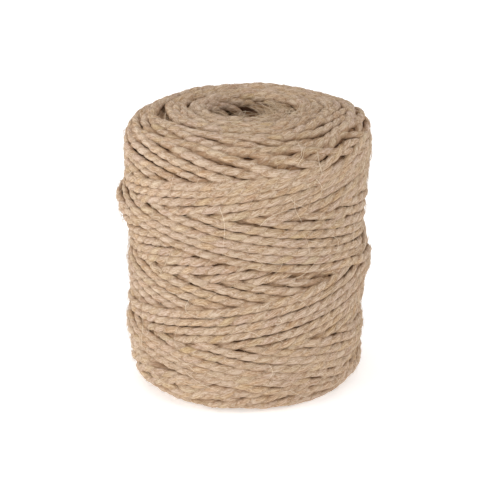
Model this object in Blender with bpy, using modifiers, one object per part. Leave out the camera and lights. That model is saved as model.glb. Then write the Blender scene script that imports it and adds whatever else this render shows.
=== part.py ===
# A spool of two-ply sisal twine: one length of twine cross-wound into a coreless tube that stands on its end.
# The twine is drawn off through the open bore. Metres, +Z up, origin at the middle of the foot.
# Angles are measured round the spool from its front, -Y, towards +X.

import math

import bmesh
import bpy

SPOOL_NAME = "sisal_twine_spool"
WINDING_NAME = "twine_winding"

# Wound form
HEIGHT = 0.109
SIDE_RADIUS = 0.0451  # at half height, under the bands
SIDE_FLARE = 0.0010  # how much the side widens from foot to shoulder
SHOULDER_DROP = 0.017  # the sloping top meets the side this far below the rim
SHOULDER_POWER = 2.8  # 2 is an ellipse, more is squarer
FOOT_RISE = 0.009
FOOT_POWER = 2.0
FOOT_RADIUS = 0.0384  # the flat end that the spool stands on
BORE_RADIUS = 0.0135
LIP = 0.0022  # rounding at both ends of the bore
LIP_POWER = 2.0
TOP_LEAN = 0.0013  # how much higher the top's edge stands on its high side than in its middle
TOP_LEAN_DEG = 5  # where that high side is
BORE_OFFSET = -0.0015  # how far the bore stands aside from the middle of the winding, along X

# Winding law: the twine climbs and falls one pitch a turn, and each pass lies beside the last of its kind
PITCH = 0.051
TWINE_DIAMETER = 0.0034
LAST_CLIMB_Z = 0.045  # height at the front where the last climbing pass crosses, repeating every pitch
LAST_FALL_Z = 0.0125  # the same for the last falling pass
BAND_STEP = 0.0016  # how far the last passes stand above the first of the outer layer
VALLEY_DEPTH = 0.0009  # groove where climbing and falling passes part
LAYER = 0.0056  # radial growth of one climbing and falling layer
END_STEP = 0.0007  # step of the turning passes that lie on the sloping top

# Uneven places: where the winder's turns pile up or sink
UNEVEN_COLUMNS = ("angle_deg", "z", "half_angle_deg", "half_height", "rise")
UNEVEN = (
    (-88, 0.0715, 24, 0.0065, 0.0044),
    (-88, 0.091, 26, 0.006, 0.0012),
    (-88, 0.083, 24, 0.005, -0.0007),
    (-88, 0.046, 30, 0.014, 0.0010),
    (-88, 0.030, 22, 0.005, -0.0006),
    (-88, 0.020, 30, 0.006, 0.0018),
    (-80, 0.103, 24, 0.007, 0.0015),
    (84, 0.099, 28, 0.008, 0.0008),
    (86, 0.062, 28, 0.013, -0.0018),
    (88, 0.0475, 14, 0.0035, 0.0030),
    (86, 0.030, 30, 0.007, -0.0012),
    (80, 0.012, 30, 0.006, -0.0014),
    (-45, 0.007, 36, 0.008, 0.0032),
    (42, 0.006, 34, 0.008, -0.0016),
    (-30, 0.060, 30, 0.010, -0.0006),
    (20, 0.088, 25, 0.010, 0.0005),
    (150, 0.070, 28, 0.012, 0.0010),
    (190, 0.030, 30, 0.010, 0.0009),
    (225, 0.090, 24, 0.009, -0.0008),
)

# Where the reliefs fade out
VALLEY_POWER = 4  # how narrow the grooves are
FOOT_CLEAR = 0.0005  # the flat foot has none
SIDE_START, SIDE_FULL = 0.6, 0.95  # shares of the side's radius between which the bands take over from the top

# Mesh fineness
TURN_STEPS = 84
SHOULDER_STEPS = 15
SIDE_STEPS = 25
FOOT_STEPS = 6
FOOT_FLAT_STEPS = 3
LIP_STEPS = 3
BORE_STEPS = 4

STRAW_COLOUR = (0.56, 0.40, 0.24, 1.0)
STRAW_ROUGHNESS = 0.85
MERGE_DISTANCE = 0.00001
SHARP_DEG = 50


def side_radius(z):
    return SIDE_RADIUS + SIDE_FLARE * (z / HEIGHT - 0.5)


def rounded_corner(flat_end, side_end, power, steps):
    """Points of a quarter super-ellipse that leaves flat_end level and reaches side_end upright."""
    points = []
    for step in range(steps + 1):
        turn = 0.5 * math.pi * step / steps
        across = abs(math.sin(turn)) ** (2 / power)
        along = abs(math.cos(turn)) ** (2 / power)
        radius = flat_end[0] + (side_end[0] - flat_end[0]) * across
        z = side_end[1] + (flat_end[1] - side_end[1]) * along
        points.append((radius, z))
    return points


def straight(start, end, steps):
    return [
        (start[0] + (end[0] - start[0]) * step / steps, start[1] + (end[1] - start[1]) * step / steps)
        for step in range(steps + 1)
    ]


def spool_outline():
    """Closed outline at +X as (radius, z): down the outer side, in along the foot and up the bore."""
    rim = (BORE_RADIUS + LIP, HEIGHT)
    shoulder = (side_radius(HEIGHT - SHOULDER_DROP), HEIGHT - SHOULDER_DROP)
    ankle = (side_radius(FOOT_RISE), FOOT_RISE)
    foot = (FOOT_RADIUS, 0.0)
    foot_lip = (BORE_RADIUS + LIP, 0.0)
    bore_foot = (BORE_RADIUS, LIP)
    bore_top = (BORE_RADIUS, HEIGHT - LIP)
    runs = (
        rounded_corner(rim, shoulder, SHOULDER_POWER, SHOULDER_STEPS),
        straight(shoulder, ankle, SIDE_STEPS),
        rounded_corner(foot, ankle, FOOT_POWER, FOOT_STEPS)[::-1],
        straight(foot, foot_lip, FOOT_FLAT_STEPS),
        rounded_corner(foot_lip, bore_foot, LIP_POWER, LIP_STEPS),
        straight(bore_foot, bore_top, BORE_STEPS),
        rounded_corner(rim, bore_top, LIP_POWER, LIP_STEPS)[::-1],
    )
    # Each run ends where the next begins, so its last point is left out.
    return [point for run in runs for point in run[:-1]]


def newness(distance):
    """1 on the last pass of a band, falling to 0 one pitch away, with the drop past the last pass rounded off."""
    age = (distance / PITCH) % 1.0
    drop = TWINE_DIAMETER / PITCH
    if age > 1.0 - drop:
        return 0.5 - 0.5 * math.cos(math.pi * (age - 1.0 + drop) / drop)
    return 1.0 - age / (1.0 - drop)


def band_relief(angle_deg, z):
    """Height of the crossing bands over the side."""
    climb = PITCH * angle_deg / 360
    last_climb = LAST_CLIMB_Z + climb
    last_fall = LAST_FALL_Z - climb
    bands = newness(last_climb - z) + newness(z - last_fall)
    valley = math.cos(2 * math.pi * (z - 0.5 * (LAST_CLIMB_Z + LAST_FALL_Z)) / (0.5 * PITCH))
    return BAND_STEP * bands - VALLEY_DEPTH * max(valley, 0.0) ** VALLEY_POWER


def end_relief(angle_deg, radius):
    """Height of the spiral step that the turning passes leave on the sloping top."""
    turn = (radius / LAYER - angle_deg / 360) % 1.0
    return END_STEP * (0.5 - 0.5 * math.cos(2 * math.pi * turn))


def uneven_rise(angle_deg, z):
    total = 0.0
    for row in UNEVEN:
        place = dict(zip(UNEVEN_COLUMNS, row))
        turn = (angle_deg - place["angle_deg"] + 180) % 360 - 180
        across = turn / place["half_angle_deg"]
        up = (z - place["z"]) / place["half_height"]
        total += place["rise"] * math.exp(-across * across - up * up)
    return total


def fade(value, start, end):
    """0 before start, 1 past end, smooth between."""
    share = min(max((value - start) / (end - start), 0.0), 1.0)
    return share * share * (3 - 2 * share)


def relief(point):
    radius = math.hypot(point.x, point.y)
    angle_deg = math.degrees(math.atan2(point.x, -point.y))
    off_foot = fade(point.z, FOOT_CLEAR, FOOT_RISE)
    on_side = fade(radius, SIDE_START * SIDE_RADIUS, SIDE_FULL * SIDE_RADIUS)
    on_top = fade(point.z, HEIGHT - SHOULDER_DROP, HEIGHT - SHOULDER_DROP / 2)
    off_rim = fade(radius, BORE_RADIUS + LIP, BORE_RADIUS + 2 * LIP)
    side = on_side * (band_relief(angle_deg, point.z) + uneven_rise(angle_deg, point.z))
    top = (1 - on_side) * on_top * off_rim * end_relief(angle_deg, radius)
    return off_foot * (side + top)


def lean(point):
    """How far the leaning top stands above or below its middle."""
    angle = math.atan2(point.x, -point.y) - math.radians(TOP_LEAN_DEG)
    along = math.hypot(point.x, point.y) * math.cos(angle) / SIDE_RADIUS
    return TOP_LEAN * along * fade(point.z, HEIGHT - 2 * SHOULDER_DROP, HEIGHT)


def bore_shift(point):
    """How far the bore and the winding next to it are moved aside, nothing at the outer side."""
    radius = math.hypot(point.x, point.y)
    return BORE_OFFSET * (1 - fade(radius, BORE_RADIUS + LIP, SIDE_START * SIDE_RADIUS))


def turned_mesh(outline, collection):
    """The outline turned about Z by a Screw modifier, as a new mesh."""
    mesh = bpy.data.meshes.new("outline")
    edges = [(i, (i + 1) % len(outline)) for i in range(len(outline))]
    mesh.from_pydata([(radius, 0.0, z) for radius, z in outline], edges, [])
    guide = bpy.data.objects.new("outline", mesh)
    collection.objects.link(guide)
    screw = guide.modifiers.new("turn", "SCREW")
    screw.steps = screw.render_steps = TURN_STEPS
    screw.use_merge_vertices = True
    screw.merge_threshold = MERGE_DISTANCE
    graph = bpy.context.evaluated_depsgraph_get()
    turned = bpy.data.meshes.new_from_object(guide.evaluated_get(graph))
    bpy.data.objects.remove(guide)
    bpy.data.meshes.remove(mesh)
    return turned


def shape_winding(mesh):
    """Raises the bands along the surface's own normals, then centres the spool over its foot."""
    bm = bmesh.new()
    bm.from_mesh(mesh)
    bmesh.ops.recalc_face_normals(bm, faces=bm.faces)
    bm.normal_update()
    for vert in bm.verts:
        rise = lean(vert.co)
        aside = bore_shift(vert.co)
        vert.co += vert.normal * relief(vert.co)
        vert.co.z += rise
        vert.co.x += aside
    for axis in range(2):
        sides = [vert.co[axis] for vert in bm.verts]
        middle = 0.5 * (min(sides) + max(sides))
        for vert in bm.verts:
            vert.co[axis] -= middle
    bm.to_mesh(mesh)
    bm.free()


def straw_material():
    material = bpy.data.materials.new("sisal")
    material.use_nodes = True
    shader = material.node_tree.nodes["Principled BSDF"]
    shader.inputs["Base Color"].default_value = STRAW_COLOUR
    shader.inputs["Roughness"].default_value = STRAW_ROUGHNESS
    shader.inputs["Metallic"].default_value = 0.0
    return material


def make_winding(collection):
    mesh = turned_mesh(spool_outline(), collection)
    mesh.name = WINDING_NAME
    shape_winding(mesh)
    mesh.shade_smooth()
    mesh.set_sharp_from_angle(angle=math.radians(SHARP_DEG))
    mesh.materials.append(straw_material())
    winding = bpy.data.objects.new(WINDING_NAME, mesh)
    collection.objects.link(winding)
    return winding


def main():
    for obj in list(bpy.data.objects):
        bpy.data.objects.remove(obj)
    collection = bpy.data.collections.new(SPOOL_NAME)
    bpy.context.scene.collection.children.link(collection)
    make_winding(collection)


main()
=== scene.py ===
# A coreless spool of two-ply sisal twine, one length cross-wound on a mandrel that was then drawn out.
# The winder is played through turn by turn, so every strand lies on the ones under it, and the strands
# that show are made as twisted two-ply twine. Metres, +Z up. Angles run from the front, -Y, towards +X.
import math

import bmesh
import bpy
import numpy as np
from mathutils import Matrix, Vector
from mathutils.bvhtree import BVHTree


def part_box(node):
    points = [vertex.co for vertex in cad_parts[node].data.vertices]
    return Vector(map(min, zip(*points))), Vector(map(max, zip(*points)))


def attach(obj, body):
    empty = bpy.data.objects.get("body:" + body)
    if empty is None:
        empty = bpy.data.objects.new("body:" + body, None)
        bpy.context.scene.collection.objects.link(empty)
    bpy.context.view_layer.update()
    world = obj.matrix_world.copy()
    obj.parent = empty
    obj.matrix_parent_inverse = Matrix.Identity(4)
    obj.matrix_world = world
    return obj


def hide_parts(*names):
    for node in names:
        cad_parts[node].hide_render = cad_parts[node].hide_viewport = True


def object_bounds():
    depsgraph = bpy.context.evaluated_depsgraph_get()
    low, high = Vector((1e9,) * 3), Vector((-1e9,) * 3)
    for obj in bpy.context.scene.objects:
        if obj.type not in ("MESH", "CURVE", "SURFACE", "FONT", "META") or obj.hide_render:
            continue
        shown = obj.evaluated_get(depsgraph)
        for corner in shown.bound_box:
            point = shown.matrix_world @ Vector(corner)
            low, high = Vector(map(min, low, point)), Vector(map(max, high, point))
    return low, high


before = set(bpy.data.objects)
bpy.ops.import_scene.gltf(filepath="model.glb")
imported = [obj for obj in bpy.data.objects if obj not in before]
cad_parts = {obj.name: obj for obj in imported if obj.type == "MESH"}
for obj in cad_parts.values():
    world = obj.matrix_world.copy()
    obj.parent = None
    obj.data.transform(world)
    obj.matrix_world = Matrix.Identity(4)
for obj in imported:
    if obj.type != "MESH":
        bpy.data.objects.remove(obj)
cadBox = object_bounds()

chance = np.random.default_rng(2411)

# Surfaces are kept as maps, with a column for each half degree round the spool and rows up or along it
columnsPerTurn = 720
columnDeg = 360 / columnsPerTurn
rowStep = 0.0004
lowestRow = -0.002
rowCount = 285  # rows up the side
mapCells = 290  # rows in the maps of what shows


def wander(count, spacing, amount):
    # smooth random wandering along a run of points
    knots = chance.normal(size=int(count / spacing) + 3)
    place = np.arange(count) / spacing
    low = place.astype(int)
    share = place - low
    share = share * share * (3 - 2 * share)
    return amount * (knots[low] * (1 - share) + knots[low + 1] * share)


def ease(value, start, end):
    # 0 at start and 1 at end, smooth between
    share = np.clip((value - start) / (end - start), 0, 1)
    return share * share * (3 - 2 * share)


def smoothed(values, margin, shape=np.hanning):
    # a run of values with its jumps rounded off over margin points each way
    window = shape(2 * margin + 1)
    return np.convolve(np.pad(values, margin, mode="edge"), window / window.sum(), mode="valid")


def blurred(field, turnWidth, rowWidth):
    # Gaussian smoothing of a map, round the spool and along its rows
    steps = np.arange(columnsPerTurn)
    ring = np.exp(-0.5 * (np.minimum(steps, columnsPerTurn - steps) / turnWidth) ** 2)
    around = np.fft.ifft(np.fft.fft(field, axis=0) * np.fft.fft(ring / ring.sum())[:, None], axis=0).real
    rows = np.arange(field.shape[1])
    weights = np.exp(-0.5 * ((rows[:, None] - rows) / rowWidth) ** 2)
    return around @ (weights / weights.sum(axis=0))


def columnAt(angleDeg):
    return np.rint(np.asarray(angleDeg) / columnDeg).astype(int) % columnsPerTurn


def cellAt(distance, cells):
    return np.clip(np.rint(np.asarray(distance) / rowStep).astype(int), 0, cells - 1)


def outwardAt(turn):
    return np.stack([np.sin(turn), -np.cos(turn), 0 * np.asarray(turn)], axis=-1)


def onSpool(turn, spread, level):
    # points at an angle, a radius and a height round the spool's axis
    x, y = spoolAxis
    return np.stack([x + spread * np.sin(turn), y - spread * np.cos(turn), level], axis=-1)


winder = {
    "boreRadius": 0.0135,
    "topReversal": 0.10525,  # where a climbing pass would turn back if the turn were sharp
    "bottomReversal": 0.00325,
    "turnsPerDouble": 4 - 24.4 / 360,  # turns of the mandrel for one pass up and one down
    "lastTopDeg": 65.3,  # angle of the last turning at the top
    "turningDeg": 28,  # half the angle over which a turning is rounded
    "doubles": 59,
    "tuckDeg": 40,  # the last stretch, which is tucked under the winding
    "passWander": (0.5, 0.00016),  # how far a pass strays, and in what share of a double pass
    "turnWander": (0.22, 0.00012),  # the same within a turn, as a share of the turn
    "seatHalfHeight": 0.00130,  # the twine as it packs, flattened where it crosses the last layer
    "seatHalfWidth": 0.00175,
    "seatRows": 4,  # rows that the twine's width covers, each side of its centre
    "slipReach": 0.0004,  # how far the twine may slip aside into a hollow
    "slipStep": 0.0002,
    "slipStiffness": 350,
    "slipMargin": 20,
    "bridgeSpans": (48, 32, 24, 16, 12, 8, 6, 4, 3, 2, 1),
    "stretch": 601,  # points laid at a time, a little less than a turn
    "ahead": 100,
    "behind": 60,
}

# The outer shape is measured outwards from a ring-shaped line inside the winding, along its outline
hub = {
    "radius": 0.030,
    "foot": 0.012,
    "top": 0.092,
    "arm": 0.016,  # metres of outline for each radian round the ends
    "start": -0.032,
    "cells": 420,
    "outside": 0.06,  # where the rays towards it start
    "sharedColumns": 4,
}

scan = {
    "boreShare": 1.25,  # the solid's points within so many bore radii are the bore's
    "outside": 0.08,
    "endStart": 0.2,
    "endReach": 0.5,
    "endFirst": 0.0008,
    "endStep": 0.0005,
    "endDeg": 15,
}


def hubRay(place):
    # for a place along the outline, the hub line's point, as radius and height, and the direction outwards
    over = max(place - hub["top"], 0) - max(hub["foot"] - place, 0)
    bend = min(abs(over) / hub["arm"], 0.5 * math.pi)
    inward = max(abs(over) - 0.5 * math.pi * hub["arm"], 0)
    base = (hub["radius"] - inward, min(max(place, hub["foot"]), hub["top"]))
    return base, (math.cos(bend), math.copysign(math.sin(bend), over))


def fromHub(spread, level):
    # place along the outline, height over the hub line, and the direction of that height
    up = np.maximum(level - hub["top"], 0) - np.maximum(hub["foot"] - level, 0)
    out = spread - hub["radius"]
    bend = np.where(up == 0, 0, np.arctan2(np.abs(up), np.maximum(out, 1e-9)))
    height = np.where(up == 0, out, np.hypot(np.maximum(out, 0), up))
    beyond = np.where(up == 0, 0, bend * hub["arm"] + np.maximum(-out, 0))
    place = np.clip(level, hub["foot"], hub["top"]) + np.sign(up) * beyond
    return place, height, np.cos(bend), np.sign(up) * np.sin(bend)


def readSolid():
    # the CAD solid's own axis, and a tree to cast rays on
    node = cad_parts["twine_winding"]
    points = np.array([vert.co for vert in node.data.vertices])
    middle = 0.5 * (solidLow + solidHigh)[:2]
    nearBore = np.hypot(*(points[:, :2] - middle).T) < scan["boreShare"] * winder["boreRadius"]
    tree = BVHTree.FromPolygons([tuple(point) for point in points],
                                [tuple(face.vertices) for face in node.data.polygons])
    return points[nearBore][:, :2].mean(axis=0), tree


def readSide():
    # radius of the solid's side, round it and up it
    side = np.full((columnsPerTurn, rowCount), np.nan)
    for column in range(columnsPerTurn):
        outward = Vector(outwardAt(math.radians(column * columnDeg)))
        for row, z in enumerate(lowestRow + rowStep * np.arange(rowCount)):
            if solidLow[2] < z < solidHigh[2]:
                start = Vector((*spoolAxis, z)) + outward * scan["outside"]
                hit = solidTree.ray_cast(start, -outward, scan["outside"])
                if hit[0] is not None:
                    side[column, row] = scan["outside"] - hit[3]
    for row in range(rowCount):
        missed = np.isnan(side[:, row])
        if missed.any():
            side[:, row] = winder["boreRadius"] if missed.all() else np.nanmean(side[:, row])
    return side


def readEnd(radii, down):
    # mean height of one end at each radius
    heights = np.full(len(radii), np.nan)
    for number, spread in enumerate(radii):
        found = []
        for turn in np.radians(np.arange(0, 360, scan["endDeg"])):
            start = Vector(onSpool(turn, spread, -down * scan["endStart"]))
            hit = solidTree.ray_cast(start, Vector((0, 0, down)), scan["endReach"])
            if hit[0] is not None:
                found.append(hit[0].z)
        if found:
            heights[number] = np.mean(found)
    known = ~np.isnan(heights)
    return np.interp(radii, radii[known], heights[known])


def readOutline():
    # height of the whole outside over the hub line, nothing where the rays miss
    solid = np.full((columnsPerTurn, hub["cells"]), np.nan)
    for column in range(0, columnsPerTurn, hub["sharedColumns"]):
        outward = outwardAt(math.radians(column * columnDeg))
        for row in range(hub["cells"]):
            base, direction = hubRay(hub["start"] + rowStep * row)
            out = Vector((*(direction[0] * outward[:2]), direction[1]))
            start = Vector((*(spoolAxis + base[0] * outward[:2]), base[1]))
            hit = solidTree.ray_cast(start + out * hub["outside"], -out, hub["outside"])
            if hit[0] is not None:
                solid[column:column + hub["sharedColumns"], row] = hub["outside"] - hit[3]
    return solid


solidLow, solidHigh = (np.array(corner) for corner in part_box("twine_winding"))
spoolAxis, solidTree = readSolid()
solidSide = readSide()
endRadii = np.arange(winder["boreRadius"] + scan["endFirst"], solidSide.max(), scan["endStep"])
solidTop, solidFoot = readEnd(endRadii, -1), readEnd(endRadii, 1)
solidMap = readOutline()
# the mean of each row round the spool, 0 where no ray meets the solid
solidMean = np.nansum(solidMap, axis=0) / np.maximum((~np.isnan(solidMap)).sum(axis=0), 1)
print("spool read, axis at", np.round(spoolAxis, 5), "side up to", round(float(solidSide.max()), 5))


def windingPath():
    # angle, column and height of the twine's centre for every half degree of winding
    double = 360 * winder["turnsPerDouble"]
    turned = np.arange(0, (winder["doubles"] + 0.5) * double + winder["tuckDeg"], columnDeg)
    stroke = winder["topReversal"] - winder["bottomReversal"]
    climb = 2 * stroke / double
    fromTop = np.abs((turned + double / 2) % double - double / 2)
    z = winder["topReversal"] - climb * fromTop
    rounding = 0.5 * climb * winder["turningDeg"]
    z -= rounding * np.clip(1 - fromTop / winder["turningDeg"], 0, None) ** 2
    z += rounding * np.clip(1 - (double / 2 - fromTop) / winder["turningDeg"], 0, None) ** 2
    share, amount = winder["passWander"]
    z += wander(len(turned), share * winder["turnsPerDouble"] * columnsPerTurn, amount)
    share, amount = winder["turnWander"]
    z += wander(len(turned), share * columnsPerTurn, amount)
    angle = turned + winder["lastTopDeg"] - (winder["doubles"] * double) % 360
    return angle, columnAt(angle), z


reach = np.arange(-winder["seatRows"], winder["seatRows"] + 1)


def seat(columns, z):
    # the rows under the twine at each point, and how high its back stands over its centre there
    place = (z - lowestRow) / rowStep
    rows = np.clip(np.rint(place).astype(int)[:, None] + reach, 0, rowCount - 1)
    aside = (rows - place[:, None]) * rowStep / winder["seatHalfWidth"]
    return columns[:, None], rows, winder["seatHalfHeight"] * np.sqrt(np.clip(1 - aside ** 2, 0, 1))


def restingRadius(surface, columns, z):
    columns, rows, back = seat(columns, z)
    return np.where(back > 0, surface[columns, rows] + back, 0).max(axis=1)


def pulledTight(radius):
    # under tension the twine bridges hollows along straight chords
    radius = radius.copy()
    for _ in range(2):
        for span in winder["bridgeSpans"]:
            before, after = radius[:-2 * span], radius[2 * span:]
            chord = 2 * before * after * math.cos(math.radians(span * columnDeg)) / (before + after)
            radius[span:-span] = np.maximum(radius[span:-span], chord)
    return radius


def wind(columns, z):
    # radius and height of the twine, each stretch laid on the ones before, and the surface it ends with
    surface = np.full((columnsPerTurn, rowCount), winder["boreRadius"])
    radius = np.zeros(len(z))
    z = z.copy()
    step = winder["slipStep"]
    slips = np.arange(-winder["slipReach"], winder["slipReach"] + 0.5 * step, step)
    lastSlip = lastRadius = np.array([])
    for start in range(0, len(z), winder["stretch"]):
        stop = min(start + winder["stretch"], len(z))
        run = slice(start, min(stop + winder["ahead"], len(z)))
        costs = [restingRadius(surface, columns[run], z[run] + slip) + winder["slipStiffness"] * slip ** 2
                 for slip in slips]
        slip = smoothed(slips[np.argmin(costs, axis=0)], winder["slipMargin"])
        shared = len(lastSlip)
        mix = np.linspace(0, 1, shared + 2)[1:-1]
        slip[:shared] = lastSlip * (1 - mix) + slip[:shared] * mix
        bare = restingRadius(surface, columns[run], z[run] + slip)
        laid = radius[max(start - winder["behind"], 0):start]
        tight = pulledTight(np.concatenate([laid, bare]))[len(laid):]
        tight[:shared] = lastRadius * (1 - mix) + tight[:shared] * mix
        lastSlip, lastRadius = slip[stop - start:], tight[stop - start:]
        radius[start:stop] = tight[:stop - start]
        z[start:stop] += slip[:stop - start]
        where, rows, back = seat(columns[start:stop], z[start:stop])
        height = np.where(back > 0, radius[start:stop, None] + back, 0)
        surface[where, rows] = np.maximum(surface[where, rows], height)
    return radius, z, surface


angleDeg, columns, plannedZ = windingPath()
laidRadius, laidZ, woundSurface = wind(columns, plannedZ)
print("wound", len(angleDeg) // columnsPerTurn, "turns, out to", round(float(woundSurface.max()), 4))


showing = {
    "depth": 0.00012,  # a row of the twine within this of the outermost one shows
    "rows": 2,  # rows that have to show at a point
    "widest": 0.1,  # looked at from the axis, and from below, heights are counted from here
    "tallest": 0.2,
    "boreReach": 0.024,  # twine farther from the axis isn't seen from inside the bore
    "margin": 14,  # points added at both ends of a run that shows
    "shortest": 3,
}


def farthest(columns, place, height, cells):
    # map of the greatest height round the spool, from the twine's own width, and which points of it show
    surface = np.full((columnsPerTurn, cells), -1.0)
    rows = np.clip(np.rint(place / rowStep).astype(int)[:, None] + reach, 0, cells - 1)
    aside = (rows * rowStep - place[:, None]) / winder["seatHalfWidth"]
    back = winder["seatHalfHeight"] * np.sqrt(np.clip(1 - aside ** 2, 0, 1))
    tops = np.where(back > 0, height[:, None] + back, -1.0)
    where = np.broadcast_to(columns[:, None], rows.shape)
    np.maximum.at(surface, (where, rows), tops)
    shows = (tops > surface[where, rows] - showing["depth"]).sum(axis=1) >= showing["rows"]
    return surface, shows


# Raises the hollows and lowers the heaps of the wound surface
levelling = {
    # smoothing round the spool and along it, in map steps, and how far a heap may be lowered
    "passes": 3 * ((8, 5, 0.003),) + 2 * ((4, 2, 0),),
    "raising": 0.009,
    "hollow": 0.0007,  # how deep a small hollow may stay
    "leastShare": 0.05,
    "sideRows": (120, 300),  # rows of the outline map that set the mean gap
    "near": 0.006,  # twine less deep than this is moved in full
    "deepest": 0.014,  # and deeper than this not at all
    "mouth": (0.016, 0.021),  # radii between which the ends take over from the bore's mouth
    "margin": 12,
}

fit = {
    "leastDepth": 0.002,
    "evenTurn": 14,  # how far the solid's own unevenness is smoothed before the winding is scaled to it
    "evenRows": 5,
    "relief": 0.50,  # how far crossing strands stand off each other, as they sink into the ones below
    "sinkStart": (0.005, 0.013),  # from the bore outwards
    "sinkLimits": (-0.003, 0.004),
    "turning": 0.96,  # how near the end of the stroke the rounded turnings lie
    "turningPower": 6,
    "turningSeat": 1.15,
    "lowestTop": 0.0985,  # the turnings keep to the ends, and don't slide along the upright side
    "highestFoot": 0.0085,
    "endSink": 0.6,  # how far the turnings sink into each other
    "endDepth": (0.007, 0.016),
    "endRadii": (0.040, 0.0455),
    "margin": 16,
    "tuckDepth": 0.006,
    "lowest": 0.001611,  # of the middle of the twine, over the surface that the spool stands on
}


def evened(field):
    # the mean of each row, with the unevenness round the spool smoothed
    mean = field.mean(axis=0)
    return mean + blurred(field - mean, fit["evenTurn"], fit["evenRows"])


def beside(field, columns, z):
    # a side map's value at each point, between its two nearest rows
    rows = np.clip((z - lowestRow) / rowStep, 0, rowCount - 1.001)
    low = rows.astype(int)
    share = rows - low
    return field[columns, low] * (1 - share) + field[columns, low + 1] * share


def levelled(columns, spread, level):
    for turnWidth, rowWidth, lowering in levelling["passes"]:
        place, height, outward, upward = fromHub(spread, level)
        surface, _ = farthest(columns, place - hub["start"], height, hub["cells"])
        known = ~np.isnan(solidMap) & (surface > 0)
        share = np.maximum(blurred(known * 1.0, turnWidth, rowWidth), levelling["leastShare"])
        gap = blurred(np.where(known, solidMap - surface, 0), turnWidth, rowWidth) / share
        neutral = np.median(gap[:, slice(*levelling["sideRows"])])
        hollow = 0 if lowering else levelling["hollow"]
        gap = np.where(gap > neutral, np.maximum(gap - hollow, neutral), gap)
        row = cellAt(place - hub["start"], hub["cells"])
        depth = np.nan_to_num(solidMap, nan=1.0)[columns, row] - height
        shift = np.clip(gap[columns, row] - neutral, -lowering, levelling["raising"])
        shift = np.minimum(shift, np.maximum(depth - winder["seatHalfHeight"], 0))
        atMouth = np.where(upward == 0, 1, ease(spread, *levelling["mouth"]))
        shift *= ease(depth, levelling["deepest"], levelling["near"]) * atMouth
        shift = smoothed(shift, levelling["margin"])
        spread, level = spread + outward * shift, level + upward * shift
    print("levelled, the last pass raised by up to", round(float(shift.max()), 5))
    return spread, level


def fitToSpool(angle, columns, radius, z):
    # scales the winding to the solid's own surface, and lets the turnings slide out over its ends
    bore = winder["boreRadius"]
    surface = evened(solidSide)
    growth = (surface - bore) / np.maximum(evened(woundSurface) - bore, fit["leastDepth"])
    fitted = bore + (radius - bore) * beside(growth, columns, z)
    depth = beside(surface, columns, z) - fitted
    start, full = fit["sinkStart"]
    sunk = ease(fitted, bore + start, bore + full) * (1 - fit["relief"])
    fitted += sunk * np.clip(depth - winder["seatHalfHeight"], *fit["sinkLimits"])
    middle = 0.5 * (winder["topReversal"] + winder["bottomReversal"])
    half = 0.5 * (winder["topReversal"] - winder["bottomReversal"])
    toEnd = (z - middle) / half
    turning, power = fit["turning"], fit["turningPower"]
    seatHeight = winder["seatHalfHeight"] * fit["turningSeat"]
    topFace = np.maximum(np.interp(fitted, endRadii, solidTop), fit["lowestTop"])
    footFace = np.minimum(np.interp(fitted, endRadii, solidFoot), fit["highestFoot"])
    topLift = (topFace - seatHeight - (middle + turning * half)) / turning ** power
    footLift = (footFace + seatHeight - (middle - turning * half)) / turning ** power
    slide = np.clip(np.abs(toEnd), 0, 1) ** power * np.where(toEnd > 0, topLift, footLift)
    inside = 1 - ease(fitted, *fit["endRadii"])
    near, deepest = fit["endDepth"]
    topDepth = topFace - seatHeight - (z + slide)
    footDepth = (z + slide) - footFace - seatHeight
    slide += inside * fit["endSink"] * np.clip(topDepth, 0, near) * ease(topDepth, deepest, near)
    slide -= inside * fit["endSink"] * np.clip(footDepth, 0, near) * ease(footDepth, deepest, near)
    fitted, level = levelled(columns, fitted, z + smoothed(slide, fit["margin"]))
    fitted = fitted - fit["tuckDepth"] * ease(angle, angle[-1] - winder["tuckDeg"], angle[-1])
    return fitted, np.maximum(level, fit["lowest"])


radius, z = fitToSpool(angleDeg, columns, laidRadius, laidZ)
turn = np.radians(angleDeg)
centres = onSpool(turn, radius, z)
length = np.concatenate([[0], np.cumsum(np.linalg.norm(np.diff(centres, axis=0), axis=1))])
print("fitted", round(float(length[-1]), 1), "m of twine, up to", round(float(z.max()), 4))

outerMap, seenOutside = farthest(columns, z - lowestRow, radius, mapCells)
innerMap, seenInside = farthest(columns, z - lowestRow, showing["widest"] - radius, mapCells)
topMap, seenAbove = farthest(columns, radius, z, mapCells)
footMap, seenBelow = farthest(columns, radius, showing["tallest"] - z, mapCells)
innerMap, footMap = showing["widest"] - innerMap, showing["tallest"] - footMap
seenInside &= radius < showing["boreReach"]
seen = seenOutside | seenInside | seenAbove | seenBelow


def runsOf(flags, margin, shortest):
    # runs of neighbouring points that show, each lengthened at both ends, as pairs of first and last
    grown = np.convolve(flags, np.ones(2 * margin + 1), mode="same") > 0.5
    edges = np.flatnonzero(np.diff(np.concatenate([[0], grown.astype(int), [0]])))
    return [(a, b) for a, b in zip(edges[::2], edges[1::2]) if b - a > shortest + 2 * margin]


runs = runsOf(seen.astype(float), showing["margin"], showing["shortest"])
shown = sum(length[b - 1] - length[a] for a, b in runs)
print("showing", len(runs), "runs,", round(float(shown), 2), "m of twine")


class Value:
    # wraps a node's output, so that shader maths is written as plain expressions
    def __init__(self, maker, socket):
        self.maker, self.socket = maker, socket

    def maths(self, operation, first, second):
        return self.maker.add("ShaderNodeMath", {"operation": operation}, {0: first, 1: second})

    def __add__(self, other):
        return self.maths("ADD", self, other)

    def __sub__(self, other):
        return self.maths("SUBTRACT", self, other)

    def __rsub__(self, other):
        return self.maths("SUBTRACT", other, self)

    def __mul__(self, other):
        return self.maths("MULTIPLY", self, other)

    def __pow__(self, other):
        return self.maths("POWER", self, other)

    __radd__ = __add__
    __rmul__ = __mul__


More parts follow.
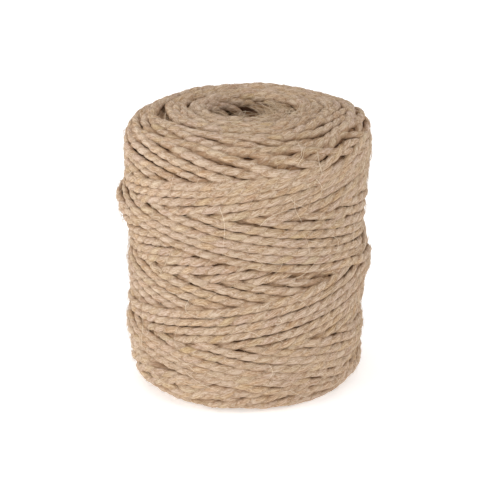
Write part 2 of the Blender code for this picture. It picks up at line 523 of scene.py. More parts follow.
class Finish:
    # a material and its nodes
    def __init__(self, name):
        self.material = bpy.data.materials.new(name)
        self.material.use_nodes = True
        self.tree = self.material.node_tree
        self.shader = self.tree.nodes["Principled BSDF"]

    def feed(self, socket, value):
        if isinstance(value, Value):
            self.tree.links.new(value.socket, socket)
        else:
            socket.default_value = value

    def add(self, kind, settings=None, sockets=None, output=0):
        node = self.tree.nodes.new(kind)
        for name, value in (settings or {}).items():
            if name == "stops":
                for stop, (place, colour) in zip(rampStops(node, len(value)), value):
                    stop.position, stop.color = place, colour
            else:
                setattr(node, name, value)
        for name, value in (sockets or {}).items():
            self.feed(node.inputs[name], value)
        return Value(self, node.outputs[output])

    def attribute(self, name, output="Fac"):
        return self.add("ShaderNodeAttribute", {"attribute_name": name}, output=output)

    def stretched(self, vector, scales, shift=(0, 0, 0)):
        return self.add("ShaderNodeMapping", {}, {"Vector": vector, "Scale": scales, "Location": shift})

    def noise(self, vector, detail=2.0, roughness=0.5):
        return self.add("ShaderNodeTexNoise", {}, {"Vector": vector, "Scale": 1.0, "Detail": detail,
                                                   "Roughness": roughness})

    def ramp(self, factor, stops):
        return self.add("ShaderNodeValToRGB", {"stops": stops}, {"Fac": factor})

    def between(self, factor, first, second, blend="MIX"):
        return self.add("ShaderNodeMix", {"data_type": "RGBA", "blend_type": blend},
                        {0: factor, 6: first, 7: second}, 2)

    def level(self, value, low, high):
        # 0 at low and 1 at high
        return self.add("ShaderNodeMapRange", {"clamp": True},
                        {"Value": value, "From Min": low, "From Max": high})

    def bump(self, height, distance, strength=1.0):
        return self.add("ShaderNodeBump", {},
                        {"Strength": strength, "Distance": distance, "Height": height})

    def set(self, name, value):
        self.feed(self.shader.inputs[name], value)


def rampStops(node, count):
    stops = node.color_ramp.elements
    while len(stops) < count:
        stops.new(0.5)
    return stops


def tone(red, green, blue):
    # a colour from its usual 0 to 255 values
    def straight(channel):
        channel /= 255
        return channel / 12.92 if channel <= 0.04045 else ((channel + 0.055) / 1.055) ** 2.4
    return (straight(red), straight(green), straight(blue), 1.0)


sisal = {
    "shade": tone(160, 127, 96),
    "straw": tone(182, 155, 130),
    "pale": tone(209, 188, 165),
    "streak": (0.0060, 0.00045),  # length and width
    "fibre": (0.0035, 0.00016),
    "streakShare": 0.65,  # of the streaks against the finer fibres
    "streakRange": (0.39, 0.61),
    "strawAt": 0.35,  # where the colour ramp reaches straw, and then pale
    "paleAt": 0.9,
    "fibreShift": (7, 3, 5),  # moves each pattern away from the others
    "blotch": (0.018, 0.00625),
    "plySeed": (1.7, 5.3),  # moves the blotches on one ply away from those on the other
    "greyPattern": ((0.7, 0.8, 0.8), (31, 17, 9)),  # the blotches' pattern stretched and moved
    "greenPattern": ((0.5, 0.8, 0.8), (3, 47, 29)),
    # tints that the colour is multiplied by, and the range of noise over which each comes in
    "gold": ((1.0, 0.94, 0.81, 1.0), (0.48, 0.70)),
    "grey": ((0.97, 0.95, 1.0, 1.0), (0.46, 0.66)),
    "green": ((0.96, 0.97, 0.88, 1.0), (0.50, 0.70)),
    "bleached": ((0.46, 0.30), 0.3),
    "pit": tone(146, 112, 80),  # painted shade deep between the strands, and in the notch where the plies meet
    "pitShadeFade": (1.3, 0.7),
    "grooveShadeFade": (2, 0.22),
    "roughness": (0.60, 0.88),
    "bumpDepth": 0.00045,
    "bumpStrength": 0.9,
    "specular": 0.35,
}


def makeSisal():
    finish = Finish("sisal")
    grain = finish.attribute("grain", "Vector")  # along the twine, and across the ply as its fibres turn
    ply = finish.attribute("ply")  # which of the two plies
    groove = finish.attribute("groove")  # 1 where the plies meet
    pit = finish.attribute("pit")  # 1 deep between the strands

    def scaled(size, shift=(0, 0, 0)):
        long, wide = size
        return finish.stretched(grain, (1 / long, 1 / wide, 1 / wide), shift)

    streaks = finish.noise(scaled(sisal["streak"]), roughness=0.6)
    fine = finish.noise(scaled(sisal["fibre"], sisal["fibreShift"]), detail=1.0)
    relief = streaks * sisal["streakShare"] + fine * (1 - sisal["streakShare"])
    colour = finish.ramp(finish.level(relief, *sisal["streakRange"]), (
        (0.0, sisal["shade"]), (sisal["strawAt"], sisal["straw"]),
        (sisal["paleAt"], sisal["pale"]), (1.0, sisal["pale"])))
    acrossSeed, upSeed = sisal["plySeed"]
    seeded = finish.add("ShaderNodeVectorMath", {"operation": "ADD"}, {
        0: scaled(sisal["blotch"]),
        1: finish.add("ShaderNodeCombineXYZ", {}, {"X": ply * acrossSeed, "Y": ply * upSeed})})
    blotch = finish.noise(seeded)
    greyField = finish.noise(finish.stretched(seeded, *sisal["greyPattern"]), detail=1.0)
    greenField = finish.noise(finish.stretched(seeded, *sisal["greenPattern"]), detail=1.0)
    for field, name in ((blotch, "gold"), (greyField, "grey"), (greenField, "green")):
        tint, where = sisal[name]
        colour = finish.between(finish.level(field, *where), colour, tint, "MULTIPLY")
    where, share = sisal["bleached"]
    colour = finish.between(finish.level(blotch, *where) * share, colour, sisal["pale"])
    # painted shade: the colour is darkened in the notch where the two plies meet
    power, share = sisal["grooveShadeFade"]
    colour = finish.between(groove ** power * share, colour, sisal["pit"], "MULTIPLY")
    # painted shade: the colour turns towards the pit tone where the twine lies deep under its neighbours'
    # crowns
    power, share = sisal["pitShadeFade"]
    finish.set("Base Color", finish.between(pit ** power * share, colour, sisal["pit"]))
    low, high = sisal["roughness"]
    finish.set("Roughness", low + (high - low) * (1 - streaks))
    finish.set("Normal", finish.bump(relief, sisal["bumpDepth"], sisal["bumpStrength"]))
    finish.set("Specular IOR Level", sisal["specular"])
    return finish.material


strayLook = {
    "tones": ((0.0, tone(176, 142, 104)), (0.5, tone(206, 182, 152)), (1.0, tone(232, 216, 192))),
    "roughness": 0.55,
    "specular": 0.4,
}


def makeStrayFinish():
    finish = Finish("strayFibres")
    finish.set("Base Color", finish.ramp(finish.attribute("tint"), strayLook["tones"]))
    finish.set("Roughness", strayLook["roughness"])
    finish.set("Specular IOR Level", strayLook["specular"])
    return finish.material


buriedShadeLook = {
    # the tones are the twine's colour darkened: painted shade of the winding deep in the gaps
    "tones": ((0.25, tone(80, 52, 32)), (0.55, tone(128, 92, 62)), (0.75, tone(172, 136, 102))),
    "fibreScale": (500, 500, 2200),
    "fibreShare": (0.5, 0.4),  # of the fibres against the strands, in the colour and in the bump
    "strands": {"Scale": 92.0, "Distortion": 5.0, "Detail": 2.0, "Detail Scale": 0.8},
    "bumpDepth": 0.0008,
    "roughness": 0.9,
}


def makeBuriedFinish():
    finish = Finish("innerTwineShade")
    place = finish.add("ShaderNodeTexCoord", output="Object")
    fibres = finish.noise(finish.stretched(place, buriedShadeLook["fibreScale"]), detail=3.0, roughness=0.7)
    strands = finish.add("ShaderNodeTexWave", {"bands_direction": "Z"},
                         {"Vector": place, **buriedShadeLook["strands"]})
    inColour, inBump = buriedShadeLook["fibreShare"]
    colourMix = fibres * inColour + strands * (1 - inColour)
    bumpMix = fibres * inBump + strands * (1 - inBump)
    finish.set("Base Color", finish.ramp(colourMix, buriedShadeLook["tones"]))
    finish.set("Normal", finish.bump(bumpMix, buriedShadeLook["bumpDepth"]))
    finish.set("Roughness", buriedShadeLook["roughness"])
    return finish.material


sisalFinish, strayFinish, buriedFinish = makeSisal(), makeStrayFinish(), makeBuriedFinish()
print("finishes made")


def outlineCurve(name, points):
    # a closed flat outline for a curve's bevel
    outline = bpy.data.curves.new(name, "CURVE")
    outline.dimensions = "2D"
    spline = outline.splines.new("POLY")
    spline.points.add(len(points) - 1)
    for point, (x, y) in zip(spline.points, points):
        point.co = (x, y, 0, 1)
    spline.use_cyclic_u = True
    holder = bpy.data.objects.new(name, outline)
    bpy.context.scene.collection.objects.link(holder)
    return holder


def sweptMesh(name, outline, paths):
    # one mesh of an outline swept along paths, each a dictionary of points, thickness and twist
    curve = bpy.data.curves.new(name, "CURVE")
    curve.dimensions = "3D"
    curve.bevel_mode = "OBJECT"
    curve.bevel_object = outline
    for path in paths:
        spline = curve.splines.new("POLY")
        count = len(path["points"])
        spline.points.add(count - 1)
        spline.points.foreach_set("co", np.c_[path["points"], np.ones(count)].astype(np.float32).ravel())
        spline.points.foreach_set("radius", path["thickness"].astype(np.float32))
        spline.points.foreach_set("tilt", path["twist"].astype(np.float32))
        spline.use_smooth = True
    sweep = bpy.data.objects.new(name, curve)
    bpy.context.scene.collection.objects.link(sweep)
    graph = bpy.context.evaluated_depsgraph_get()
    mesh = bpy.data.meshes.new_from_object(sweep.evaluated_get(graph))
    bpy.data.objects.remove(sweep)
    bpy.data.curves.remove(curve)
    mesh.name = name
    while mesh.uv_layers:
        mesh.uv_layers.remove(mesh.uv_layers[0])
    return mesh


def closeEnds(mesh):
    bm = bmesh.new()
    bm.from_mesh(mesh)
    bmesh.ops.holes_fill(bm, edges=[edge for edge in bm.edges if edge.is_boundary], sides=0)
    bmesh.ops.recalc_face_normals(bm, faces=bm.faces)
    bm.to_mesh(mesh)
    bm.free()


def finishPiece(name, mesh, material):
    mesh.materials.clear()
    mesh.materials.append(material)
    mesh.shade_smooth()
    piece = bpy.data.objects.new(name, mesh)
    bpy.context.scene.collection.objects.link(piece)
    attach(piece, "root")
    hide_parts("twine_winding")
    return piece


def setPoints(mesh, name, kind, values):
    layer = mesh.attributes.new(name, kind, "POINT")
    field = "vector" if kind == "FLOAT_VECTOR" else "value"
    layer.data.foreach_set(field, values.astype(np.float32).ravel())


twine = {
    "diameter": 0.00358,
    "lay": 0.0115,  # length of one full twist of the two plies
    # half the two-ply cross-section, as angle and share of the radius, with the notch of the plies at 90
    "plyProfile": ((0, 1.0), (31, 0.985), (62, 0.92), (90, 0.77), (118, 0.92), (149, 0.985)),
    "plyCentre": 0.235,  # of the diameter, from the twine's middle
    "fibreDrift": 650,  # how fast the fibres turn round their ply, radians per metre
    "section": 0.00085,  # spacing of the cross-sections along the twine
    "thickWander": ((60, 0.056), (17, 0.03)),  # spacing in points, and share of the thickness
    "stray": (40, 0.00010),  # spacing in points, and how far the twine strays from its place
    "flat": 0.78,  # how far the twine is pressed flat on the spool's side
    "flatMiddle": 0.054,
    "flatReach": (0.042, 0.050),  # up or down from the middle, where the flattening ends
    "crownRows": 5,
    # depths under the crowns over which the painted pit shade comes in
    "pitShadeDepth": (0.0003, 0.0020),
    "pieces": 12,
    # the bake map's rows
    "stripGap": 0.0015,
    "rowSpare": 0.001,
    "rowMargin": 0.06,
}

half = [(math.radians(angle), share) for angle, share in twine["plyProfile"]]
profile = half + [(angle + math.pi, share) for angle, share in half]
sides = len(profile)
outline = np.array([(0.5 * share * math.cos(angle), 0.5 * share * math.sin(angle))
                    for angle, share in profile])
notch = np.array([1 - share for _, share in profile]) / max(1 - share for _, share in profile)
twineOutline = outlineCurve("twineOutline", outline)

(slowSpacing, slowShare), (fastSpacing, fastShare) = twine["thickWander"]
thickness = 1 + wander(len(z), slowSpacing, slowShare) + wander(len(z), fastSpacing, fastShare)
thickness *= twine["diameter"]
strayZ = wander(len(z), *twine["stray"])
strayRadius = wander(len(z), *twine["stray"])


def twinePath(first, last):
    # even sections along one run that shows
    count = max(int((length[last - 1] - length[first]) / twine["section"]), 4)
    along = np.linspace(length[first], length[last - 1], count)
    steps = np.arange(first, last)
    index = np.interp(along, length[first:last], steps)
    pick = slice(first, last)
    spread = np.interp(index, steps, radius[pick] + strayRadius[pick])
    where = np.interp(index, steps, turn[pick])
    return {
        "points": onSpool(where, spread, np.interp(index, steps, z[pick] + strayZ[pick])),
        "along": along,
        "outward": outwardAt(where),
        "thickness": np.interp(index, steps, thickness[pick]),
        "twist": -2 * math.pi * along / twine["lay"],
    }


def crownsOf(surface):
    # the highest value within a few rows each way, which bridges the grooves between strands
    span = twine["crownRows"]
    return np.max([np.roll(surface, shift, axis=1) for shift in range(-span, span + 1)], axis=0)


crownOutside, crownAbove = crownsOf(outerMap), crownsOf(topMap)
crownInside, crownBelow = -crownsOf(-innerMap), -crownsOf(-footMap)


def underCrowns(points):
    # how far a point lies under the crowns of the twine round it
    offset = points[:, :2] - spoolAxis
    spread = np.hypot(*offset.T)
    column = columnAt(np.degrees(np.arctan2(offset[:, 0], -offset[:, 1])))
    row, ring = cellAt(points[:, 2] - lowestRow, mapCells), cellAt(spread, mapCells)
    outside = crownOutside[column, row] - spread
    above = crownAbove[column, ring] - points[:, 2]
    below = points[:, 2] - crownBelow[column, ring]
    inside = spread - crownInside[column, row]
    return np.minimum(np.minimum(outside, above), np.minimum(below, inside))


def layOutStrips(mesh, paths):
    # the bake map: the twine laid out in rows, its length along and its girth across each
    gap = twine["stripGap"]
    lengths = [path["along"][-1] - path["along"][0] for path in paths]
    starts = np.cumsum([0] + [total + gap for total in lengths[:-1]])
    ringPlace = np.concatenate([start + (path["along"] - path["along"][0])
                                for start, path in zip(starts, paths)])
    total = starts[-1] + lengths[-1]
    rows = max(int(math.sqrt(total / (math.pi * twine["diameter"]))), 1)
    rowLength = total / rows + twine["rowSpare"]
    corners = np.empty(len(mesh.loops), np.int32)
    mesh.loops.foreach_get("vertex_index", corners)
    faceCount = len(mesh.polygons)
    ring, step = corners // sides, corners % sides
    faceOf = np.repeat(np.arange(faceCount), 4)  # every face is a quad before the ends are closed
    firstRing = ring.reshape(faceCount, 4).min(axis=1)
    lastStep, firstStep = step.reshape(faceCount, 4).max(axis=1), step.reshape(faceCount, 4).min(axis=1)
    wraps = ((lastStep == sides - 1) & (firstStep == 0))[faceOf]
    step = np.where(wraps & (step == 0), sides, step)
    row = np.minimum((ringPlace[firstRing] / rowLength).astype(int), rows - 1)[faceOf]
    across = (ringPlace[ring] - row * rowLength) / (rowLength + gap)
    up = (row + twine["rowMargin"] + (1 - 2 * twine["rowMargin"]) * step / sides) / rows
    layer = mesh.uv_layers.new(name="OFBake")
    layer.uv.foreach_set("vector", np.stack([np.clip(across, 0, 1), up], axis=1).astype(np.float32).ravel())


def makeTwinePiece(name, paths):
    mesh = sweptMesh(name, twineOutline, paths)
    centre, outward, along, thick = (np.repeat(np.concatenate([path[key] for path in paths]), sides, axis=0)
                                     for key in ("points", "outward", "along", "thickness"))
    points = np.empty(len(mesh.vertices) * 3, np.float32)
    mesh.vertices.foreach_get("co", points)
    offset = points.reshape(-1, 3).astype(float) - centre
    fromMiddle = np.abs(centre[:, 2] - twine["flatMiddle"])
    flat = twine["flat"] + (1 - twine["flat"]) * ease(fromMiddle, *twine["flatReach"])
    points = centre + offset - outward * ((1 - flat) * (offset * outward).sum(axis=1))[:, None]
    points[:, 2] = np.maximum(points[:, 2], 0)
    mesh.vertices.foreach_set("co", points.astype(np.float32).ravel())
    rings = len(centre) // sides
    section = np.tile(outline, (rings, 1)) * thick[:, None]
    plySide = np.sign(section[:, 0] + 1e-9)
    fromPly = section - np.stack([plySide * twine["plyCentre"] * thick, 0 * thick], axis=1)
    drift = twine["fibreDrift"] * along
    turned = np.stack([fromPly[:, 0] * np.cos(drift) - fromPly[:, 1] * np.sin(drift),
                       fromPly[:, 0] * np.sin(drift) + fromPly[:, 1] * np.cos(drift)], axis=1)
    setPoints(mesh, "grain", "FLOAT_VECTOR", np.c_[along, turned])
    setPoints(mesh, "ply", "FLOAT", plySide)
    setPoints(mesh, "groove", "FLOAT", np.tile(notch, rings))
    # mask of the painted shade, from how deep each point lies under the crowns round it
    setPoints(mesh, "pit", "FLOAT", ease(underCrowns(points), *twine["pitShadeDepth"]))
    layOutStrips(mesh, paths)
    closeEnds(mesh)
    return finishPiece(name, mesh, sisalFinish)


paths = [twinePath(first, last) for first, last in runs]
faceTotal = 0
for number in range(twine["pieces"]):
    piece = makeTwinePiece("twine{:02d}".format(number + 1), paths[number::twine["pieces"]])
    faceTotal += len(piece.data.polygons)
print("twine laid,", faceTotal, "faces")


# What lies under the strands that show, and closes the gaps between them
buried = {
    "inset": 0.0021,  # how far under the solid's surface the buried winding lies
    "endInset": 0.0038,
    "endStart": (0.012, 0.018),  # beyond the hub line's ends
    "boreInset": 0.0036,
    "sideRows": 60,
    "endRows": 24,
    "steps": 120,
    "coilDepth": 0.0040,  # how far down the middle of the coils under the turnings lies
    "coilStep": 0.0035,
    "coilReach": (0.0175, 0.0385),
    "coilSection": 0.0013,
    "coilWander": (50, 0.0002),
    "coilMargin": 20,
}


def buriedOutline():
    # closed outline of the buried winding, as radius and height
    wall = winder["boreRadius"] + buried["boreInset"]
    ends = 0.5 * math.pi * hub["arm"] + hub["radius"] - wall
    foot = hub["foot"] - np.linspace(ends, 0, buried["endRows"])[:-1]
    side = np.linspace(hub["foot"], hub["top"], buried["sideRows"])
    top = hub["top"] + np.linspace(0, ends, buried["endRows"])[1:]
    middle, half = 0.5 * (hub["top"] + hub["foot"]), 0.5 * (hub["top"] - hub["foot"])
    start, full = buried["endStart"]
    rows = hub["start"] + rowStep * np.arange(hub["cells"])
    points = []
    for place in np.concatenate([foot, side, top]):
        base, direction = hubRay(place)
        atEnd = float(ease(abs(place - middle), half + start, half + full))
        deeper = (buried["endInset"] - buried["inset"]) * atEnd
        height = float(np.interp(place, rows, solidMean)) - buried["inset"] - deeper
        points.append((base[0] + direction[0] * height, base[1] + direction[1] * height))
    return points


def makeBuriedWinding():
    # a closed turned body just under the strands, so that no gap shows through
    bm = bmesh.new()
    verts = [bm.verts.new((spread, 0, level)) for spread, level in buriedOutline()]
    edges = [bm.edges.new((verts[i], verts[(i + 1) % len(verts)])) for i in range(len(verts))]
    bmesh.ops.spin(bm, geom=verts + edges, cent=(0, 0, 0), axis=(0, 0, 1), angle=2 * math.pi,
                   steps=buried["steps"], use_merge=True)
    bmesh.ops.remove_doubles(bm, verts=bm.verts, dist=0.00001)
    for vert in bm.verts:
        # the round body is pushed in and out to follow the solid
        spread, level = np.float64(math.hypot(vert.co.x, vert.co.y)), np.float64(vert.co.z)
        place, _, outward, upward = (float(value) for value in fromHub(spread, level))
        row = int(round((place - hub["start"]) / rowStep))
        column = columnAt(math.degrees(math.atan2(vert.co.x, -vert.co.y)))
        push = float(np.nan_to_num(solidMap[column, row] - solidMean[row]))
        scale = (spread + outward * push) / spread
        vert.co = (*(spoolAxis + np.array(vert.co.xy) * scale), level + upward * push)
    bmesh.ops.recalc_face_normals(bm, faces=bm.faces)
    mesh = bpy.data.meshes.new("innerWinding")
    bm.to_mesh(mesh)
    bm.free()
    return finishPiece("innerWinding", mesh, buriedFinish)


def coilPath(level):
    # a flat coil of twine under the turnings of one end, following the end's own slope
    first, last = buried["coilReach"]
    angles = np.arange(0, (last - first) / buried["coilStep"] * 360, columnDeg)
    spread = first + buried["coilStep"] * angles / 360
    place = fromHub(spread, np.full(len(angles), level))[0]
    filled = np.where(np.isnan(solidMap), solidMean, solidMap)
    height = filled[columnAt(angles), cellAt(place - hub["start"], hub["cells"])]
    height = smoothed(height, buried["coilMargin"], np.ones) - buried["coilDepth"]
    height += wander(len(angles), *buried["coilWander"])
    rays = [hubRay(value) for value in place]
    spread = np.array([base[0] + direction[0] * rise for (base, direction), rise in zip(rays, height)])
    levels = np.array([base[1] + direction[1] * rise for (base, direction), rise in zip(rays, height)])
    points = onSpool(np.radians(angles), spread, levels)
    gone = np.concatenate([[0], np.cumsum(np.linalg.norm(np.diff(points, axis=0), axis=1))])
    along = np.linspace(0, gone[-1], int(gone[-1] / buried["coilSection"]))
    return {
        "points": np.stack([np.interp(along, gone, points[:, axis]) for axis in range(3)], axis=1),
        "along": along,
        "outward": outwardAt(np.interp(along, gone, np.radians(angles))),
        "thickness": np.full(len(along), twine["diameter"]),
        "twist": -2 * math.pi * along / twine["lay"],
    }


makeBuriedWinding()
makeTwinePiece("endCoils", [coilPath(cadBox[1].z), coilPath(cadBox[0].z)])
print("buried winding made")


# The Thick ranges are shares of the common thickness, and tints run from 0, dark, to 1, pale
strays = {
    "thickness": 0.00013,
    "taper": 0.55,
    "faceTilt": 0.3,  # how far a fibre on the ends faces outwards, against up or down
    # short fuzz along the strands
    "short": 8500,
    "lowestShort": 0.003,
    "shortLength": (0.0025, 0.0085),
    "shortCut": (0.5, 1),
    "headingReach": 4,  # points each way that give the strand's heading
    "shortLean": (0.35, 0.45),  # radians from the strand, and how much that varies
    "shortLift": 0.00045,
    "leastLift": 0.0001,
    "shortBow": 0.0006,
    "shortThick": (0.6, 1.15),
    "shortTint": (0.0, 0.75),
    "freeShare": 0.45,  # of the short fibres, lifted at one end
    "shortAside": 0.0005,
    "rooted": 0.00015,
    # long fibres that lie over the side
    "long": 260,
    "longLength": (0.006, 0.022),
    "longLevel": (0.006, 0.100),
    "longLimits": (0.003, 0.103),
    "longStandOff": (0.0001, 0.0009),
    "longTurning": (0.8, 0.9),  # spread of the headings and of the bends, in radians
    "longThick": (0.8, 1.4),
    "longTint": (0.4, 1),
    "sideRadius": 0.047,
    "standOff": 0.00005,
    "archPower": 0.8,  # less than 1 lifts a fibre soon after its ends
    # loose fibres at the front, as first and last angle, first and last height, and how far they stand off
    "front": (
        (35, 33, 0.103, 0.0925, 0.0016), (32, 35, 0.094, 0.086, 0.0010),
        (22, 25, 0.088, 0.0765, 0.0012), (20, 27, 0.0885, 0.0825, 0.0014),
        (-11, -8, 0.085, 0.0685, 0.0008), (-27, -26, 0.046, 0.0405, 0.0012),
        (15, 16, 0.041, 0.0375, 0.0010), (11, 12, 0.022, 0.0155, 0.0010),
        (0, 9, 0.0365, 0.0335, 0.0008), (24, 30, 0.0995, 0.1065, 0.0014),
        (27, 22, 0.1065, 0.1000, 0.0012), (87, 88, 0.0480, 0.0425, 0.0016),
    ),
    "frontThickness": 0.00017,
    "frontTint": 0.95,
    "frontCurlDeg": 1.2,
    # fibres over the top
    "top": 90,
    "topDeg": (55, 50),
    "topSpread": (0.012, 0.034),
    "topLength": (0.004, 0.014),
    "topRise": (0.0002, 0.0016),
    "topBend": 0.8,
    "topThick": (0.7, 1.3),
    "topTint": (0.3, 1),
    "topLevels": (0.09, 0.104),  # below the first the fibre would lie in the bore, so it takes the second
    # the felted mat across one side of the bore's mouth
    "mouth": 420,
    "mouthDeg": (78, 24),
    "mouthSpread": (0.0085, 0.0165),
    "mouthLength": (0.004, 0.011),
    "mouthRise": (0.0, 0.0006),
    "mouthTurning": (0.5, 0.6),
    "mouthThick": (0.9, 1.7),
    "mouthTint": (0.1, 0.7),
    "mouthLevel": (0.1068, 0.0004),
    "mouthSag": (0.0125, 0.25),  # the mat hangs inwards of this radius, with this slope
}
fibreOutline = outlineCurve("fibreOutline", [(0.5 * math.cos(angle), 0.5 * math.sin(angle))
                                             for angle in np.radians((90, 210, 330))])


def thickAndTint(kind):
    thick = strays["thickness"] * chance.uniform(*strays[kind + "Thick"])
    return thick, chance.uniform(*strays[kind + "Tint"])


def fibrePath(points, thick, tint):
    count = len(points)
    taper = 1 - strays["taper"] * np.linspace(0, 1, count) ** 3
    points[:, 2] = np.maximum(points[:, 2], thick)
    return {
        "points": points,
        "thickness": thick * taper,
        "twist": np.zeros(count),
        "tint": np.full(count, tint),
    }


def curled(headings, size):
    # a level line that turns through its headings
    line = np.stack([np.cumsum(np.cos(headings)), np.cumsum(np.sin(headings))], axis=1)
    return line * size / len(headings)


def facing(index):
    # the way that the twine faces where it shows
    outward = outwardAt(turn[index])
    if not seenOutside[index]:
        if seenAbove[index]:
            outward = outward * strays["faceTilt"] + np.array([0, 0, 1.0])
        elif seenInside[index]:
            outward = -outward
        elif seenBelow[index]:
            outward = outward * strays["faceTilt"] - np.array([0, 0, 1.0])
    return outward / np.linalg.norm(outward)


def shortFibres():
    candidates = np.flatnonzero(seen & (z > strays["lowestShort"]))
    steps = np.linspace(0, 1, 4)
    reachAlong = strays["headingReach"]
    made = []
    for index in chance.choice(candidates, strays["short"], replace=False):
        heading = centres[min(index + reachAlong, len(z) - 1)] - centres[index - reachAlong]
        heading /= np.linalg.norm(heading)
        outward = facing(index)
        aside = np.cross(outward, heading)
        size = chance.uniform(*strays["shortLength"]) * chance.uniform(*strays["shortCut"])
        lean = chance.normal(*strays["shortLean"])
        lift = abs(chance.normal(0, strays["shortLift"])) + strays["leastLift"]
        bow = chance.normal(0, strays["shortBow"])
        free = chance.random() < strays["freeShare"]
        direction = (heading * math.cos(lean) + aside * math.sin(lean)) * chance.choice((-1, 1))
        crown = 0.5 * twine["diameter"] * twine["flat"] - strays["rooted"]
        base = centres[index] + outward * crown + aside * chance.normal(0, strays["shortAside"])
        rise = lift * (steps ** 1.5 if free else np.sin(math.pi * steps))
        points = base + np.outer(steps * size, direction) + np.outer(rise, outward)
        points += np.outer(bow * np.sin(math.pi * steps), aside)
        made.append(fibrePath(points, *thickAndTint("short")))
    return made


def sideFibre(angles, levels, standOff, thick, tint):
    # a long fibre that follows the strands' crowns and arches off them
    steps = np.linspace(0, 1, len(angles))
    spread = crownOutside[columnAt(angles), cellAt(levels - lowestRow, mapCells)]
    spread = np.convolve(np.pad(spread, 1, mode="edge"), (0.25, 0.5, 0.25), mode="valid")
    spread = spread + strays["standOff"] + standOff * np.sin(math.pi * steps) ** strays["archPower"]
    return fibrePath(onSpool(np.radians(angles), spread, levels), thick, tint)


def longFibres():
    made = []
    for first, last, high, low, standOff in strays["front"]:
        steps = np.linspace(0, 1, 11)
        curl = strays["frontCurlDeg"] * np.sin(math.pi * steps * chance.uniform(1, 2))
        curl *= chance.choice((-1, 1))
        angles, levels = first + (last - first) * steps + curl, high + (low - high) * steps
        made.append(sideFibre(angles, levels, standOff, strays["frontThickness"], strays["frontTint"]))
    for _ in range(strays["long"]):
        size = chance.uniform(*strays["longLength"])
        start, level = chance.uniform(0, 360), chance.uniform(*strays["longLevel"])
        heading, bend = (chance.normal(0, deviation) for deviation in strays["longTurning"])
        forward, upward = curled(heading + bend * np.linspace(0, 1, 9), size).T
        levels = np.clip(level + upward, *strays["longLimits"])
        angles = start + np.degrees(forward / strays["sideRadius"])
        standOff = chance.uniform(*strays["longStandOff"])
        made.append(sideFibre(angles, levels, standOff, *thickAndTint("long")))
    return made


def topFibres():
    # the fuzz round the mouth of the bore
    steps = np.linspace(0, 1, 8)
    made = []
    for _ in range(strays["top"]):
        angle = math.radians(chance.normal(*strays["topDeg"]))
        spread = chance.uniform(*strays["topSpread"])
        level = crownAbove[columnAt(math.degrees(angle)), min(int(spread / rowStep), mapCells - 1)]
        lowest, instead = strays["topLevels"]
        start = onSpool(angle, spread, instead if level < lowest else level)
        course, bend = chance.uniform(0, 2 * math.pi), chance.normal(0, strays["topBend"])
        flat = curled(course + bend * steps, chance.uniform(*strays["topLength"]))
        rise = chance.uniform(*strays["topRise"]) * np.sin(math.pi * steps)
        made.append(fibrePath(start + np.c_[flat, rise], *thickAndTint("top")))
    return made


def mouthFibres():
    steps = np.linspace(0, 1, 6)
    sagStart, sag = strays["mouthSag"]
    made = []
    for _ in range(strays["mouth"]):
        angle = math.radians(chance.normal(*strays["mouthDeg"]))
        spread = chance.uniform(*strays["mouthSpread"])
        mean, unevenness = strays["mouthLevel"]
        level = mean + chance.normal(0, unevenness) - sag * max(sagStart - spread, 0)
        askew, bend = (chance.normal(0, deviation) for deviation in strays["mouthTurning"])
        flat = curled(angle + askew + bend * (steps - 0.5), chance.uniform(*strays["mouthLength"]))
        rise = chance.uniform(*strays["mouthRise"]) * np.sin(math.pi * steps)
        points = onSpool(angle, spread, level) + np.c_[flat - flat.mean(axis=0), rise]
        made.append(fibrePath(points, *thickAndTint("mouth")))
    return made


def makeFibrePiece(name, paths):
    mesh = sweptMesh(name, fibreOutline, paths)
    setPoints(mesh, "tint", "FLOAT", np.repeat(np.concatenate([path["tint"] for path in paths]), 3))
    closeEnds(mesh)
    return finishPiece(name, mesh, strayFinish)


makeFibrePiece("shortFibres", shortFibres())
makeFibrePiece("longFibres", longFibres() + topFibres() + mouthFibres())
for holder in (twineOutline, fibreOutline):
    bpy.data.objects.remove(holder)
print("fibres laid")


studio = {
    "floorSize": 6.0,
    "floorTone": (0.93, 0.93, 0.93, 1.0),
    "floorRoughness": 0.9,
    "floorGlow": 0.4,  # the floor is lit through from below, which softens the shadow
    "world": (1.0, 1.0, 1.0, 1.0),
    "worldStrength": 0.81,
    # each light: name, place, aim, size, watts
    "lights": (
        ("keyLight", (-1.45, -0.75, 0.55), (0, 0, 0.05), 1.3, 15),
        ("fillLight", (1.35, -0.9, 0.8), (0, 0, 0.05), 1.4, 5.5),
    ),
}


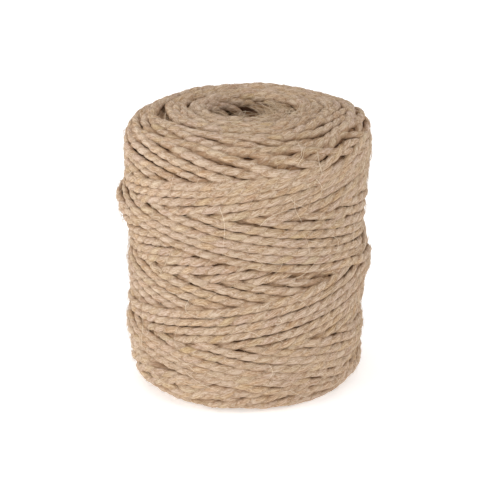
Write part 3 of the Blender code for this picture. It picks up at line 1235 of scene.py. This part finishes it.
def makeFloor():
    bm = bmesh.new()
    bmesh.ops.create_grid(bm, x_segments=1, y_segments=1, size=studio["floorSize"] / 2)
    mesh = bpy.data.meshes.new("floor")
    bm.to_mesh(mesh)
    bm.free()
    finish = Finish("floorPaper")
    finish.set("Base Color", studio["floorTone"])
    finish.set("Roughness", studio["floorRoughness"])
    finish.set("Emission Color", studio["floorTone"])
    finish.set("Emission Strength", studio["floorGlow"])
    mesh.materials.append(finish.material)
    floor = bpy.data.objects.new("floor", mesh)
    bpy.context.scene.collection.objects.link(floor)


def aimedAt(thing, place, target):
    thing.location = place
    thing.rotation_mode = "QUATERNION"
    thing.rotation_quaternion = (Vector(target) - Vector(place)).to_track_quat("-Z", "Y")
    bpy.context.scene.collection.objects.link(thing)


def makeLights():
    world = bpy.data.worlds.new("studio")
    bpy.context.scene.world = world
    world.use_nodes = True
    background = world.node_tree.nodes["Background"]
    background.inputs["Color"].default_value = studio["world"]
    background.inputs["Strength"].default_value = studio["worldStrength"]
    for name, place, target, size, watts in studio["lights"]:
        lamp = bpy.data.lights.new(name, "AREA")
        lamp.shape = "DISK"
        lamp.size = size
        lamp.energy = watts
        aimedAt(bpy.data.objects.new(name, lamp), place, target)


camera = {
    "elevationDeg": 21.3,
    "distance": 0.654,  # from the middle of the spool
    "lens": 119.8,
    "sensor": 36,
    "clip": (0.01, 20),
    "aimRight": 0.0017,  # the spool stands a little left of and above the middle of the frame
    "aimDown": 0.0053,
}


def makeCamera():
    lens = bpy.data.cameras.new("camera")
    lens.lens = camera["lens"]
    lens.sensor_width = camera["sensor"]
    lens.clip_start, lens.clip_end = camera["clip"]
    rise = math.radians(camera["elevationDeg"])
    middle = Vector((0, 0, 0.5 * (cadBox[0].z + cadBox[1].z)))
    aim = middle + Vector((camera["aimRight"], 0, -camera["aimDown"]))
    place = middle + camera["distance"] * Vector((0, -math.cos(rise), math.sin(rise)))
    eye = bpy.data.objects.new("camera", lens)
    aimedAt(eye, place, aim)
    bpy.context.scene.camera = eye


makeFloor()
makeLights()
makeCamera()
bpy.context.scene.view_settings.view_transform = "Standard"
print("studio set")
